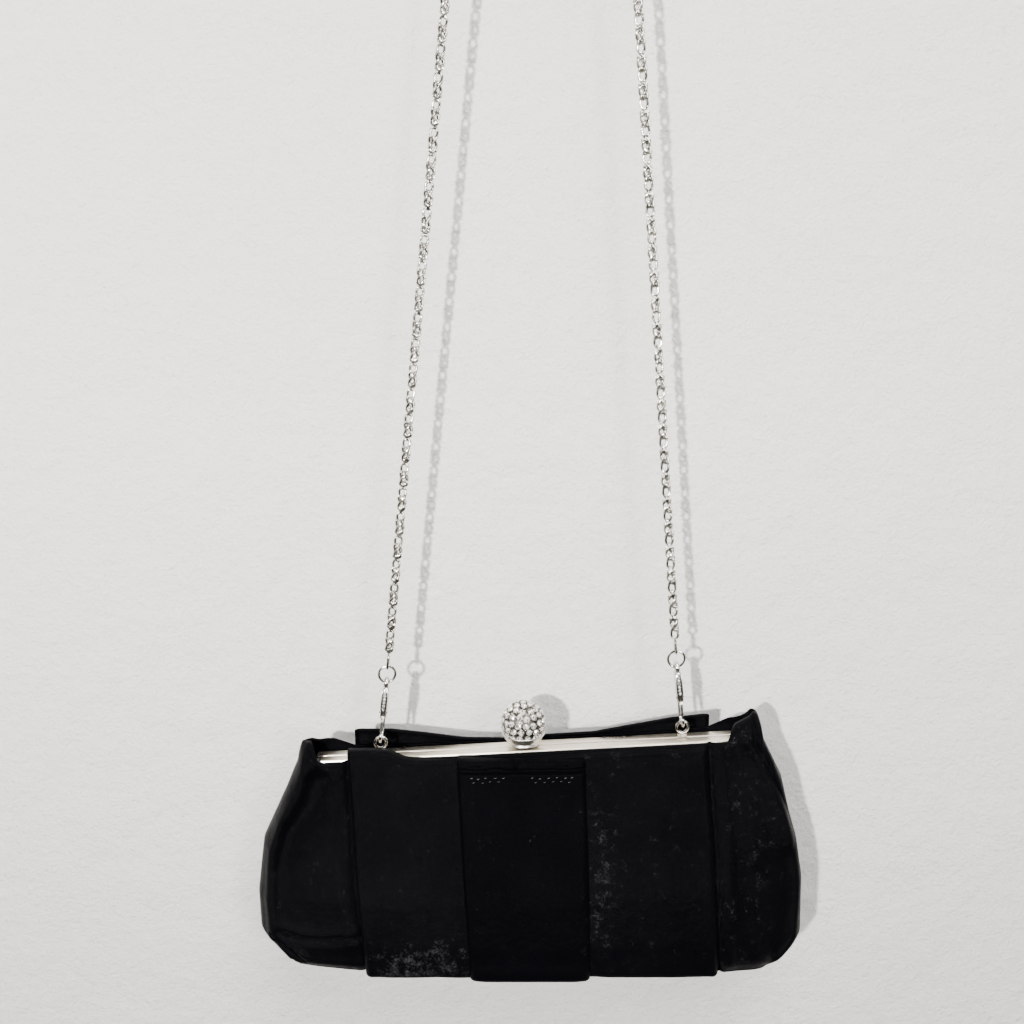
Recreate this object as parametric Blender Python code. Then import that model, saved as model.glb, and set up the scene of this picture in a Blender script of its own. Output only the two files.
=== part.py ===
"""Evening bag: a satin clutch on a hinged metal frame, hung by a chain strap.

Metres, +Z up, front towards -Y, +X to the viewer's right. The origin is the
point where the chain loop rests on whatever holds it.
"""
import math

import bmesh
import bpy
import numpy as np

MM = 0.001

# Heights are given from the flat top of the frame, in metres.
FRAME_TOP_Z = -0.373
BASE = -0.095
HINGE = -0.033
FOLD_TOP = -0.0190
FOLD_FOOT = -0.0410
SKIN_FOOT = -0.0927
GAP = 0.0003

# Frame
BAR_DEPTH = 0.0055
BAR_SEAM = 0.00015
BAR_HEIGHT = 0.0050
FRONT_HALF_LENGTH = 0.0914
BACK_HALF_LENGTH = 0.0940
ARM_THICK = 0.0021
EAR_RADIUS = 0.0030
HINGE_PIN_RADIUS = 0.0012
HINGE_HOLE_RADIUS = 0.00135

# Fabric
SKIN = 0.0022
LINING = 0.0012
BAND_HALF_TOP = 0.0760
BAND_HALF_FOOT = 0.0750
KNOT_HALF_TOP = 0.0260
KNOT_HALF_FOOT = 0.0250
KNOT_THICK = 0.0030
COLLAR_CENTRE = -0.0020
COLLAR_END = 0.0055

# Half-width of the whole bag and half-depth of its inside, by height.
OUTLINE_H = (-0.0927, -0.0900, -0.0840, -0.0700, -0.0450, -0.0190, 0.0, 0.0080)
OUTLINE_W = (0.1100, 0.1165, 0.1205, 0.1210, 0.1190, 0.1100, 0.1010, 0.0970)
DEPTH_H = (-0.0927, -0.0800, -0.0600, -0.0410, -0.0330, -0.0190, -0.0080, 0.0)
DEPTH_D = (0.0195, 0.0195, 0.0182, 0.0152, 0.0130, 0.0085, 0.0062, 0.0060)

# Clasp
BALL_RADIUS = 0.0093
BALL_HEIGHT = 0.0105
CLASP_X = -0.0035
CLASP_AXIS_Y = 0.0085
CLASP_AXIS_H = 0.0021
CLASP_PIN_RADIUS = 0.00045
CLASP_HOLE_RADIUS = 0.0006

# The frame hangs a little out of level, while the base is level.
LEAN_SLOPE = 0.0545
LEAN_H = (-0.0950, -0.0360, 0.0450, 0.3300)
LEAN_SHARE = (0.0, 1.0, 1.0, 0.0)

# Strap hardware
LUG_X = 0.0655
HOOK_H = 0.0056
LUG_EYE_DROP = 0.0008
LUG_RADIUS = 0.0025
LUG_WIRE = 0.0006
RING_X = 0.0621
RING_H = 0.0357
RING_RADIUS = 0.00355
RING_WIRE = 0.00055
CLIP_LEAN = math.radians(6.77)
CLIP_EYE_V = 0.0265
BOWL_HEIGHT = 0.0037
GATE_PIVOT_Y = -0.0014
GATE_PIVOT_V = 0.0136
CHAIN_SLOPE = 0.0933
CHAIN_RADIUS = 0.0018
STRAP_ROUTE = ((0.06125, 0.0448), (0.0554, 0.1075), (0.0496, 0.1700), (0.0433, 0.2370),
               (0.0372, 0.3030), (0.0328, 0.3430), (0.0250, 0.3630), (0.0132, 0.3722))
DRIFT_H = (0.0448, 0.3430, 0.3722)
DRIFT_X = (0.0, 0.0035, 0.0010)

MATERIALS = {
    "black_satin": ((0.012, 0.012, 0.017), 0.0, 0.42),
    "lining_satin": ((0.03, 0.03, 0.035), 0.0, 0.55),
    "base_stiffener": ((0.10, 0.095, 0.09), 0.0, 0.7),
    "champagne_metal": ((0.80, 0.70, 0.55), 1.0, 0.22),
    "silver_metal": ((0.72, 0.72, 0.73), 1.0, 0.2),
    "crystal": ((0.85, 0.87, 0.90), 0.0, 0.05),
}


def up(height):
    """Height above the frame top to a Z in the part's frame."""
    return FRAME_TOP_Z + height


def leaned(x, y, z):
    """Raise the right side and lower the left one, by the share of that height."""
    share = float(np.interp(z - FRAME_TOP_Z, LEAN_H, LEAN_SHARE))
    return x, y, z + x * LEAN_SLOPE * share


def clear_scene():
    for item in list(bpy.data.objects):
        bpy.data.objects.remove(item, do_unlink=True)


def material(name):
    found = bpy.data.materials.get(name)
    if found:
        return found
    colour, metallic, roughness = MATERIALS[name]
    made = bpy.data.materials.new(name)
    made.use_nodes = True
    shader = made.node_tree.nodes["Principled BSDF"]
    shader.inputs["Base Color"].default_value = (*colour, 1.0)
    shader.inputs["Metallic"].default_value = metallic
    shader.inputs["Roughness"].default_value = roughness
    made.diffuse_color = (*colour, 1.0)
    return made


def finish(name, bm, slot, smooth=True, origin=(0.0, 0.0, 0.0)):
    """Turn a bmesh into an object whose origin is on its joint axis."""
    bmesh.ops.recalc_face_normals(bm, faces=bm.faces[:])
    bmesh.ops.translate(bm, verts=bm.verts[:], vec=[-c for c in origin])
    mesh = bpy.data.meshes.new(name)
    bm.to_mesh(mesh)
    bm.free()
    for face in mesh.polygons:
        face.use_smooth = smooth
    made = bpy.data.objects.new(name, mesh)
    made.location = origin
    bpy.context.collection.objects.link(made)
    mesh.materials.append(material(slot))
    return made


def combine(target, other, operation):
    """Apply one exact Boolean and remove the cutter."""
    other.hide_render = True
    other.display_type = "WIRE"
    change = target.modifiers.new("shape", "BOOLEAN")
    change.operation = operation
    change.solver = "EXACT"
    change.object = other
    depsgraph = bpy.context.evaluated_depsgraph_get()
    mesh = bpy.data.meshes.new_from_object(target.evaluated_get(depsgraph))
    target.modifiers.remove(change)
    old = target.data
    target.data = mesh
    bpy.data.meshes.remove(old)
    bpy.data.objects.remove(other, do_unlink=True)


def half_width(height):
    return float(np.interp(height, OUTLINE_H, OUTLINE_W))


def inside_depth(x, height):
    """Half-depth of the inside at one place of the front or back panel."""
    depth = float(np.interp(height, DEPTH_H, DEPTH_D))
    share = np.clip((abs(x) - 0.060) / (half_width(height) - 0.060), 0.0, 1.0)
    narrowing = np.clip((-0.008 - height) / 0.022, 0.0, 1.0)
    return depth * (1.0 - 0.38 * share * share * narrowing)


def slab(name, columns, rows, outer, inner, slot, origin=(0.0, 0.0, 0.0)):
    """A closed sheet with an outer and an inner face, both grids of points."""
    bm = bmesh.new()
    faces = []
    for surface in (outer, inner):
        faces.append([[bm.verts.new(surface(u, v)) for u in columns] for v in rows])
    front, back = faces
    last_row = len(rows) - 1
    last_column = len(columns) - 1
    for r in range(last_row):
        for c in range(last_column):
            bm.faces.new((front[r][c], front[r][c + 1], front[r + 1][c + 1], front[r + 1][c]))
            bm.faces.new((back[r][c], back[r + 1][c], back[r + 1][c + 1], back[r][c + 1]))
    for c in range(last_column):
        for r in (0, last_row):
            bm.faces.new((front[r][c], front[r][c + 1], back[r][c + 1], back[r][c]))
    for r in range(last_row):
        for c in (0, last_column):
            bm.faces.new((front[r][c], front[r + 1][c], back[r + 1][c], back[r][c]))
    return finish(name, bm, slot, True, origin)


def steps(start, end, count):
    return [start + (end - start) * i / count for i in range(count + 1)]


def hanging_panel(name, side, top, foot, half, off, thick, slot, cols=14, rows=5):
    """A front (side -1) or back (side +1) sheet, lying off the inside surface."""
    def edge(u, v):
        height = top(u) + (foot - top(u)) * v
        return half(height) * u, height

    def outer(u, v):
        x, height = edge(u, v)
        return x, side * (inside_depth(x, height) + off + thick(u, v)), up(height)

    def inner(u, v):
        x, height = edge(u, v)
        return x, side * (inside_depth(x, height) + off), up(height)

    return slab(name, steps(-1.0, 1.0, cols), steps(0.0, 1.0, rows), outer, inner, slot)


def plain(thickness):
    return lambda u, v: thickness


def level(height):
    return lambda u: height


def panel_half(height):
    return half_width(height) - 0.0085


def band_half(height):
    share = height / BASE
    return BAND_HALF_TOP + (BAND_HALF_FOOT - BAND_HALF_TOP) * share


def knot_half(height):
    share = height / BASE
    return KNOT_HALF_TOP + (KNOT_HALF_FOOT - KNOT_HALF_TOP) * share


def lining_half(height):
    return 0.0880


def knot_round(u, v):
    return KNOT_THICK * (0.55 + 0.45 * math.sqrt(max(0.0, 1.0 - abs(u) ** 4)))


def make_fabric():
    zones = (
        ("upper", -0.0010, FOLD_TOP, 4),
        ("fold", FOLD_TOP - GAP, FOLD_FOOT, 5),
        ("lower", FOLD_FOOT - GAP, SKIN_FOOT, 8),
    )
    for zone, top, foot, rows in zones:
        hanging_panel("front_panel_" + zone, -1, level(top), foot, panel_half, 0.0,
                      plain(SKIN), "black_satin", 18, rows)
        hanging_panel("front_band_" + zone, -1, level(top), foot, band_half, SKIN + GAP,
                      plain(SKIN), "black_satin", 14, rows)
        knot_top = -0.0050 if zone == "upper" else top
        knot_foot = BASE + GAP if zone == "lower" else foot
        hanging_panel("knot_" + zone, -1, level(knot_top), knot_foot, knot_half,
                      2 * (SKIN + GAP), knot_round, "black_satin", 10, rows)
        lining_top = -BAR_HEIGHT - GAP if zone == "upper" else top
        lining_foot = -0.0902 if zone == "lower" else foot
        hanging_panel("front_lining_" + zone, -1, level(lining_top), lining_foot, lining_half,
                      -GAP - LINING, plain(LINING), "lining_satin", 10, rows)
    hanging_panel("back_panel", 1, level(-0.0010), SKIN_FOOT, panel_half, 0.0,
                  plain(SKIN), "black_satin", 18, 14)
    hanging_panel("back_band", 1, collar_top, SKIN_FOOT, band_half, SKIN + GAP,
                  plain(SKIN), "black_satin", 16, 14)
    hanging_panel("back_lining", 1, level(-BAR_HEIGHT - GAP), -0.0902, lining_half,
                  -GAP - LINING, plain(LINING), "lining_satin", 10, 12)
    hanging_panel("inner_pocket", 1, level(-0.0450), -0.0850, lambda h: 0.0420,
                  -2 * GAP - 2 * LINING, plain(LINING), "lining_satin", 8, 5)
    for name, side in (("left", -1), ("right", 1)):
        side_sheet(name + "_gusset", side, FOLD_TOP - GAP, SKIN_FOOT, 0.0, SKIN, "black_satin", 10)
        side_sheet(name + "_side_fold", side, 0.0080, FOLD_TOP, 0.0, SKIN, "black_satin", 5)
        side_sheet(name + "_lining", side, -0.0440, -0.0860, 0.0068, LINING, "lining_satin", 6)


def collar_top(u):
    return COLLAR_CENTRE + (COLLAR_END - COLLAR_CENTRE) * abs(u) ** 1.5


def side_sheet(name, side, top, foot, inset, thick, slot, rows):
    """A rounded side wall between the front and back panels."""
    def place(u, v, shift):
        height = top + (foot - top) * v
        half = half_width(height)
        deep = inside_depth(half, height) + SKIN - inset * 0.9
        if height > FOLD_TOP:
            deep = deep * (1.0 - 0.35 * (height - FOLD_TOP) / (0.008 - FOLD_TOP))
        y = deep * u
        return side * (half - inset * 0.5 - shift - 0.0040 * u * u), y, up(height)

    return slab(name, steps(-1.0, 1.0, 8), steps(0.0, 1.0, rows),
                lambda u, v: place(u, v, 0.0), lambda u, v: place(u, v, thick), slot)


def base_sheet(name, half, depth_off, top, foot, slot):
    """A flat sheet that follows the outline of the inside at the base."""
    def deep(x):
        return inside_depth(x, SKIN_FOOT) + depth_off

    return slab(name, steps(-half, half, 16), steps(-1.0, 1.0, 2),
                lambda x, v: (x, deep(x) * v, up(top)),
                lambda x, v: (x, deep(x) * v, up(foot)), slot)


def make_base():
    base_sheet("base_panel", 0.1010, -GAP, -0.0905, SKIN_FOOT, "black_satin")
    base_sheet("base_board", 0.0980, -GAP * 2 - LINING * 1.3, -0.0882, -0.0902, "base_stiffener")
    base_sheet("base_lining", 0.0980, -GAP * 2 - LINING * 1.3, -0.0869, -0.0879, "lining_satin")
    base_sheet("base_band", BAND_HALF_FOOT, SKIN * 2 + GAP, SKIN_FOOT - GAP, BASE, "black_satin")


def box(name, low, high, slot, bevel=0.0, origin=(0.0, 0.0, 0.0)):
    bm = bmesh.new()
    bmesh.ops.create_cube(bm, size=1.0)
    for vert in bm.verts:
        for axis in range(3):
            middle = (low[axis] + high[axis]) / 2
            vert.co[axis] = middle + vert.co[axis] * (high[axis] - low[axis])
    if bevel:
        bmesh.ops.bevel(bm, geom=bm.edges[:], offset=bevel, segments=2, affect="EDGES",
                        profile=0.5, clamp_overlap=True)
    return finish(name, bm, slot, False, origin)


def rod_x(name, centre, radius, half, slot, sides=24, lean=0.0):
    """A round bar along X, or leaning from it in the XZ plane."""
    bm = bmesh.new()
    rings = []
    for end in (-half, half):
        ring = []
        for i in range(sides):
            turn = 2 * math.pi * i / sides
            across = radius * math.sin(turn)
            x = centre[0] + end * math.cos(lean) - across * math.sin(lean)
            z = centre[2] + end * math.sin(lean) + across * math.cos(lean)
            ring.append(bm.verts.new((x, centre[1] + radius * math.cos(turn), z)))
        rings.append(ring)
    for i in range(sides):
        j = (i + 1) % sides
        bm.faces.new((rings[0][i], rings[0][j], rings[1][j], rings[1][i]))
    bm.faces.new(rings[0])
    bm.faces.new(rings[1])
    return finish(name, bm, slot)


def frame_half(name, side, half_length, arm_x, slot):
    """One bar with an arm and a hinge ear at each end, in one piece."""
    near = side * BAR_SEAM
    far = side * (BAR_SEAM + BAR_DEPTH)
    made = box(name, (-half_length, min(near, far), up(-BAR_HEIGHT)),
               (half_length, max(near, far), up(0.0)), slot, 0.0007)
    for end in (-1, 1):
        bm = bmesh.new()
        rows = []
        for height, low, high in ((-0.0020, 0.0006, 0.0050), (-0.0140, 0.0, 0.0045),
                                  (-0.0260, -0.0018, 0.0024), (HINGE, -0.0021, 0.0021)):
            row = []
            for x in (end * arm_x, end * (arm_x + ARM_THICK)):
                for y in (side * low, side * high):
                    row.append(bm.verts.new((x, y, up(height))))
            rows.append(row)
        order = (0, 1, 3, 2)
        for a, b in zip(rows, rows[1:]):
            for k in range(4):
                i = order[k]
                j = order[(k + 1) % 4]
                bm.faces.new((a[i], a[j], b[j], b[i]))
        bm.faces.new([rows[0][i] for i in order])
        bm.faces.new([rows[-1][i] for i in order])
        combine(made, finish("arm", bm, slot, False), "UNION")
        middle = end * (arm_x + ARM_THICK / 2)
        ear = rod_x("ear", (middle, 0.0, up(HINGE)), EAR_RADIUS, ARM_THICK / 2, slot, 32)
        combine(made, ear, "UNION")
        hole = rod_x("hole", (middle, 0.0, up(HINGE)), HINGE_HOLE_RADIUS, ARM_THICK, slot, 32)
        combine(made, hole, "DIFFERENCE")
    return made


def move_origin(item, point):
    """Put an object's origin on its joint axis without moving its shape."""
    for vert in item.data.vertices:
        for axis in range(3):
            vert.co[axis] += item.location[axis] - point[axis]
    item.location = point


def make_frame():
    pivot = (0.0, 0.0, up(HINGE))
    front = frame_half("front_frame", -1, FRONT_HALF_LENGTH, FRONT_HALF_LENGTH - ARM_THICK,
                       "champagne_metal")
    move_origin(front, pivot)
    frame_half("back_frame", 1, BACK_HALF_LENGTH, BACK_HALF_LENGTH - ARM_THICK,
               "champagne_metal")
    for name, side in (("left", -1), ("right", 1)):
        centre = (side * 0.0917, 0.0, up(HINGE))
        pin = rod_x(name + "_hinge_pin", centre, HINGE_PIN_RADIUS, 0.0030, "champagne_metal")
        for end in (-1, 1):
            head = (centre[0] + end * 0.0034, 0.0, centre[2])
            combine(pin, rod_x("head", head, 0.0020, 0.0005, "champagne_metal"), "UNION")


def torus(name, centre, major, minor, slot, around=32, section=12, origin=None):
    """A ring in the XZ plane."""
    bm = bmesh.new()
    loops = []
    for i in range(around):
        turn = 2 * math.pi * i / around
        loop = []
        for j in range(section):
            roll = 2 * math.pi * j / section
            reach = major + minor * math.cos(roll)
            loop.append(bm.verts.new((
                centre[0] + reach * math.cos(turn),
                centre[1] + minor * math.sin(roll),
                centre[2] + reach * math.sin(turn),
            )))
        loops.append(loop)
    for i in range(around):
        for j in range(section):
            k = (i + 1) % around
            m = (j + 1) % section
            bm.faces.new((loops[i][j], loops[k][j], loops[k][m], loops[i][m]))
    return finish(name, bm, slot, True, origin or (0.0, 0.0, 0.0))


def make_lugs():
    for name, side in (("left", -1), ("right", 1)):
        x = side * LUG_X
        eye = HOOK_H - LUG_EYE_DROP
        lug = torus(name + "_lug", (x, 0.0, up(eye)), LUG_RADIUS, LUG_WIRE, "champagne_metal")
        foot = box("foot", (x - 0.0021, -0.0006, up(GAP)), (x + 0.0021, 0.0068, up(0.0019)),
                   "champagne_metal", 0.0002)
        combine(lug, foot, "UNION")


def sweep(name, points, normals, half_wide, half_thick, slot, closed, sides=10, origin=None):
    """A rounded bar along a path; each normal points across the wide way."""
    bm = bmesh.new()
    rings = []
    count = len(points)
    for i in range(count):
        before = points[(i - 1) % count] if closed else points[max(i - 1, 0)]
        after = points[(i + 1) % count] if closed else points[min(i + 1, count - 1)]
        along = after - before
        along = along / np.linalg.norm(along)
        wide = normals[i] - along * float(np.dot(normals[i], along))
        wide = wide / np.linalg.norm(wide)
        thick = np.cross(along, wide)
        ring = []
        for k in range(sides):
            turn = 2 * math.pi * (k + 0.5) / sides
            place = points[i] + wide * half_wide * math.cos(turn)
            place = place + thick * half_thick * math.sin(turn)
            ring.append(bm.verts.new(place.tolist()))
        rings.append(ring)
    pairs = list(zip(rings, rings[1:]))
    if closed:
        pairs.append((rings[-1], rings[0]))
    for a, b in pairs:
        for k in range(sides):
            m = (k + 1) % sides
            bm.faces.new((a[k], a[m], b[m], b[k]))
    if not closed:
        bm.faces.new(rings[0])
        bm.faces.new(rings[-1])
    return finish(name, bm, slot, True, origin or (0.0, 0.0, 0.0))


def smooth_route(knots, spacing):
    """Evenly spaced points on a smooth curve through the knots."""
    ends = [knots[0] * 2 - knots[1]] + knots + [knots[-1] * 2 - knots[-2]]
    fine = []
    for a, b, c, d in zip(ends, ends[1:], ends[2:], ends[3:]):
        for t in steps(0.0, 1.0, 40)[:-1]:
            fine.append(b + 0.5 * t * (c - a + t * (2 * a - 5 * b + 4 * c - d
                                                    + t * (3 * (b - c) + d - a))))
    fine.append(knots[-1])
    lengths = [0.0]
    for a, b in zip(fine, fine[1:]):
        lengths.append(lengths[-1] + float(np.linalg.norm(b - a)))
    places = steps(0.0, lengths[-1], round(lengths[-1] / spacing))
    return [np.array([np.interp(s, lengths, [p[k] for p in fine]) for k in range(3)])
            for s in places]


def drift(height):
    """How far both legs of the strap stand over to the right at one height."""
    return float(np.interp(height, DRIFT_H, DRIFT_X))


def make_strap():
    right = [(x + drift(height), 0.0, up(height)) for x, height in STRAP_ROUTE]
    left = [(drift(height) - x, 0.0, up(height)) for x, height in reversed(STRAP_ROUTE)]
    knots = [np.array(p) for p in right + [(0.0, 0.0, CHAIN_RADIUS)] + left]
    curve = bpy.data.curves.new("chain_strap", "CURVE")
    curve.dimensions = "3D"
    curve.bevel_depth = CHAIN_RADIUS
    curve.bevel_resolution = 2
    curve.use_fill_caps = True
    route = smooth_route(knots, 0.0092)
    spline = curve.splines.new("POLY")
    spline.points.add(len(route) - 1)
    for point, place in zip(spline.points, route):
        point.co = (*place, 1.0)
    spline.use_smooth = True
    strap = bpy.data.objects.new("chain_strap", curve)
    curve.materials.append(material("silver_metal"))
    bpy.context.collection.objects.link(strap)
    for name, side in (("left", -1), ("right", 1)):
        low = RING_H + RING_RADIUS - RING_WIRE - 0.0006
        link = []
        for k in range(28):
            turn = 2 * math.pi * k / 28
            reach = 0.0013 * math.cos(turn)
            height = low + 0.0013 + 0.0013 * math.sin(turn) + (0.0035 if math.sin(turn) > 0 else 0.0)
            lean = -CHAIN_SLOPE * (height - RING_H)
            link.append(np.array((side * (RING_X + lean), reach, up(height))))
        across = [np.array((1.0, 0.0, 0.0))] * len(link)
        sweep(name + "_end_link", link, across, 0.0005, 0.0005, "silver_metal", True, 10)


def make_rings():
    for name, side in (("left", -1), ("right", 1)):
        centre = (side * RING_X, 0.0, up(RING_H))
        pivot = (centre[0], 0.0, up(RING_H + RING_RADIUS))
        torus(name + "_ring", centre, RING_RADIUS, RING_WIRE, "silver_metal", 32, 12, pivot)


def clip_point(side, y, v, t):
    """From the clip's own plane to the part's frame: v runs up the leaning clip."""
    x = LUG_X - v * math.sin(CLIP_LEAN) + t * math.cos(CLIP_LEAN)
    z = up(HOOK_H) + v * math.cos(CLIP_LEAN) + t * math.sin(CLIP_LEAN)
    return side * x, y, z


def clip_plate(name, side, outline, half_top, half_foot, slot, smooth=False):
    """A flat outline in the clip's plane, thicker towards the top."""
    bm = bmesh.new()
    low = min(p[1] for p in outline)
    high = max(p[1] for p in outline)
    faces = []
    for sign in (-1, 1):
        ring = []
        for y, v in outline:
            half = half_foot + (half_top - half_foot) * (v - low) / (high - low)
            ring.append(bm.verts.new(clip_point(side, y, v, sign * half)))
        faces.append(ring)
    count = len(outline)
    for i in range(count):
        j = (i + 1) % count
        bm.faces.new((faces[0][i], faces[0][j], faces[1][j], faces[1][i]))
    bm.faces.new(faces[0])
    bm.faces.new(faces[1])
    return finish(name, bm, slot, smooth)


def arc_points(centre, radius, start, end, count):
    turns = [math.radians(a) for a in steps(start, end, count)]
    return [(centre[0] + radius * math.cos(a), centre[1] + radius * math.sin(a)) for a in turns]


def clip_rod(name, side, y, v, radius, half, slot, sides=20):
    x, y, z = clip_point(side, y, v, 0.0)
    return rod_x(name, (x, y, z), radius, half, slot, sides, side * CLIP_LEAN)


def make_clips():
    bowl = (0.0, BOWL_HEIGHT)
    for name, side in (("left", -1), ("right", 1)):
        hook = [(0.0022, 0.0135), (0.0041, 0.0090)]
        hook += arc_points(bowl, 0.0044, 0.0, -195.0, 22)
        hook += arc_points(bowl, 0.0030, -195.0, 0.0, 18)
        hook += [(0.0029, 0.0085), (0.0010, 0.0125)]
        clip = clip_plate(name + "_clip", side, hook, 0.0008, 0.0006, "silver_metal")
        body = [(0.0010, 0.0110), (0.0030, 0.0112), (0.0031, 0.0160), (0.0020, 0.0246),
                (-0.0020, 0.0246), (-0.0031, 0.0160), (-0.0030, 0.0122), (-0.0015, 0.0112)]
        combine(clip, clip_plate("body", side, body, 0.0014, 0.0015, "silver_metal"), "UNION")
        eye = arc_points((0.0, CLIP_EYE_V), 0.0027, 0.0, 345.0, 23)
        combine(clip, clip_plate("eye", side, eye, 0.0012, 0.0012, "silver_metal"), "UNION")
        hole = clip_rod("hole", side, 0.0, CLIP_EYE_V, 0.0015, 0.0030, "silver_metal", 28)
        combine(clip, hole, "DIFFERENCE")
        slot = [(-0.0060, 0.0090), (0.0004, 0.0090), (0.0004, 0.0154), (-0.0060, 0.0154)]
        combine(clip, clip_plate("slot", side, slot, 0.0008, 0.0008, "silver_metal"), "DIFFERENCE")
        hole = clip_rod("hole", side, GATE_PIVOT_Y, GATE_PIVOT_V, 0.00055, 0.0040, "silver_metal")
        combine(clip, hole, "DIFFERENCE")
        ring_foot = (side * RING_X, 0.0, up(RING_H - RING_RADIUS))
        move_origin(clip, ring_foot)
        pin = clip_rod(name + "_gate_pin", side, GATE_PIVOT_Y, GATE_PIVOT_V, 0.0005, 0.0018,
                       "silver_metal")
        move_origin(pin, ring_foot)
        gate = arc_points((GATE_PIVOT_Y, GATE_PIVOT_V), 0.0012, 20.0, 190.0, 10)
        gate += [(-0.0030, 0.0118), (-0.0046, 0.0112), (-0.0048, 0.0104), (-0.0036, 0.0100),
                 (-0.0040, 0.0053), (-0.0030, 0.0052), (-0.0022, 0.0090), (-0.0006, 0.0122)]
        made = clip_plate(name + "_gate", side, gate, 0.0006, 0.0005, "silver_metal")
        hole = clip_rod("hole", side, GATE_PIVOT_Y, GATE_PIVOT_V, 0.0007, 0.0030, "silver_metal")
        combine(made, hole, "DIFFERENCE")
        move_origin(made, clip_point(side, GATE_PIVOT_Y, GATE_PIVOT_V, 0.0))
        stones = clip_plate(name + "_clip_stones", side,
                            [(-0.0034, 0.0162), (-0.0039, 0.0162), (-0.0028, 0.0232),
                             (-0.0023, 0.0232)], 0.0007, 0.0007, "crystal")
        for k in range(5):
            v = 0.0169 + 0.0014 * k
            y = -0.0038 + 0.0011 * (v - 0.0162) / 0.0070
            bm = bmesh.new()
            bmesh.ops.create_icosphere(bm, subdivisions=1, radius=0.00062)
            bmesh.ops.translate(bm, verts=bm.verts[:], vec=clip_point(side, y, v, 0.0))
            combine(stones, finish("stone", bm, "crystal"), "UNION")
        move_origin(stones, ring_foot)


def revolve(name, profile, slot, sides=32, origin=(0.0, 0.0, 0.0)):
    """Turn a closed profile of (radius, height) about the upright clasp axis."""
    bm = bmesh.new()
    rings = []
    for radius, height in profile:
        if radius < 1e-7:
            rings.append([bm.verts.new((CLASP_X, 0.0, up(height)))])
            continue
        ring = []
        for i in range(sides):
            turn = 2 * math.pi * i / sides
            across = radius * math.cos(turn)
            ring.append(bm.verts.new((CLASP_X + across, radius * math.sin(turn), up(height))))
        rings.append(ring)
    open_ends = len(rings[0]) == 1 and len(rings[-1]) == 1
    pairs = list(zip(rings, rings[1:]))
    if not open_ends:
        pairs.append((rings[-1], rings[0]))
    for a, b in pairs:
        for i in range(sides):
            j = (i + 1) % sides
            if len(a) == 1:
                bm.faces.new((a[0], b[i], b[j]))
            elif len(b) == 1:
                bm.faces.new((a[i], a[j], b[0]))
            else:
                bm.faces.new((a[i], a[j], b[j], b[i]))
    return finish(name, bm, slot, True, origin)


def make_clasp():
    pivot = (CLASP_X, CLASP_AXIS_Y, up(CLASP_AXIS_H))
    flat = 0.0023
    core = BALL_RADIUS
    low_angle = math.asin((flat - BALL_HEIGHT) / core)
    profile = [(0.0, flat)]
    for a in steps(low_angle, math.pi / 2, 18):
        profile.append((core * math.cos(a), BALL_HEIGHT + core * math.sin(a)))
    profile[-1] = (0.0, BALL_HEIGHT + core)
    revolve("clasp_ball", profile, "crystal", 36, pivot)

    shell = []
    inner = core + 0.0003
    outer = core + 0.0010
    for a in steps(-0.52, math.asin((flat - BALL_HEIGHT) / inner), 8):
        shell.append((inner * math.cos(a), BALL_HEIGHT + inner * math.sin(a)))
    for a in steps(math.asin((flat - BALL_HEIGHT) / outer), -0.52, 8):
        shell.append((outer * math.cos(a), BALL_HEIGHT + outer * math.sin(a)))
    revolve("clasp_cup", shell, "silver_metal", 36, pivot)

    lever = revolve("clasp_lever", [(0.0, 0.0012), (0.0050, 0.0012), (0.0050, 0.0020), (0.0, 0.0020)],
                    "silver_metal", 28)
    tail = box("tail", (CLASP_X - 0.0024, 0.0020, up(0.0012)),
               (CLASP_X + 0.0024, 0.0079, up(0.0020)), "silver_metal")
    combine(lever, tail, "UNION")
    combine(lever, rod_x("knuckle", pivot, 0.0011, 0.0024, "silver_metal"), "UNION")
    nose = box("nose", (CLASP_X - 0.0028, -0.0044, up(GAP)),
               (CLASP_X + 0.0028, -0.0012, up(0.0016)), "silver_metal")
    combine(lever, nose, "UNION")
    hole = rod_x("hole", pivot, CLASP_HOLE_RADIUS, 0.0040, "silver_metal")
    combine(lever, hole, "DIFFERENCE")
    move_origin(lever, pivot)

    bracket = box("clasp_bracket", (CLASP_X - 0.0040, 0.0026, up(GAP)),
                  (CLASP_X + 0.0040, 0.0097, up(0.0008)), "champagne_metal")
    for side in (-1, 1):
        middle = CLASP_X + side * 0.0034
        post = box("post", (middle - 0.0006, 0.0074, up(0.0004)),
                   (middle + 0.0006, 0.0096, up(CLASP_AXIS_H)), "champagne_metal")
        combine(bracket, post, "UNION")
        cheek = rod_x("cheek", (middle, CLASP_AXIS_Y, up(CLASP_AXIS_H)), 0.0012, 0.0006,
                      "champagne_metal")
        combine(bracket, cheek, "UNION")
    combine(bracket, rod_x("hole", pivot, CLASP_HOLE_RADIUS, 0.0060, "champagne_metal"),
            "DIFFERENCE")
    pin = rod_x("clasp_pin", pivot, CLASP_PIN_RADIUS, 0.0044, "champagne_metal", 16)
    move_origin(pin, pivot)


def place_origins():
    """Give the pieces of each half of the bag an origin on their half's joint."""
    hinge = (0.0, 0.0, up(HINGE))
    hooks = (0.0, 0.0, up(HOOK_H + BOWL_HEIGHT))
    for item in bpy.data.objects:
        if item.type != "MESH" or item.location.length > 0.0:
            continue
        if item.name.endswith("_end_link"):
            continue
        move_origin(item, hinge if item.name.endswith("_upper") else hooks)


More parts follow.
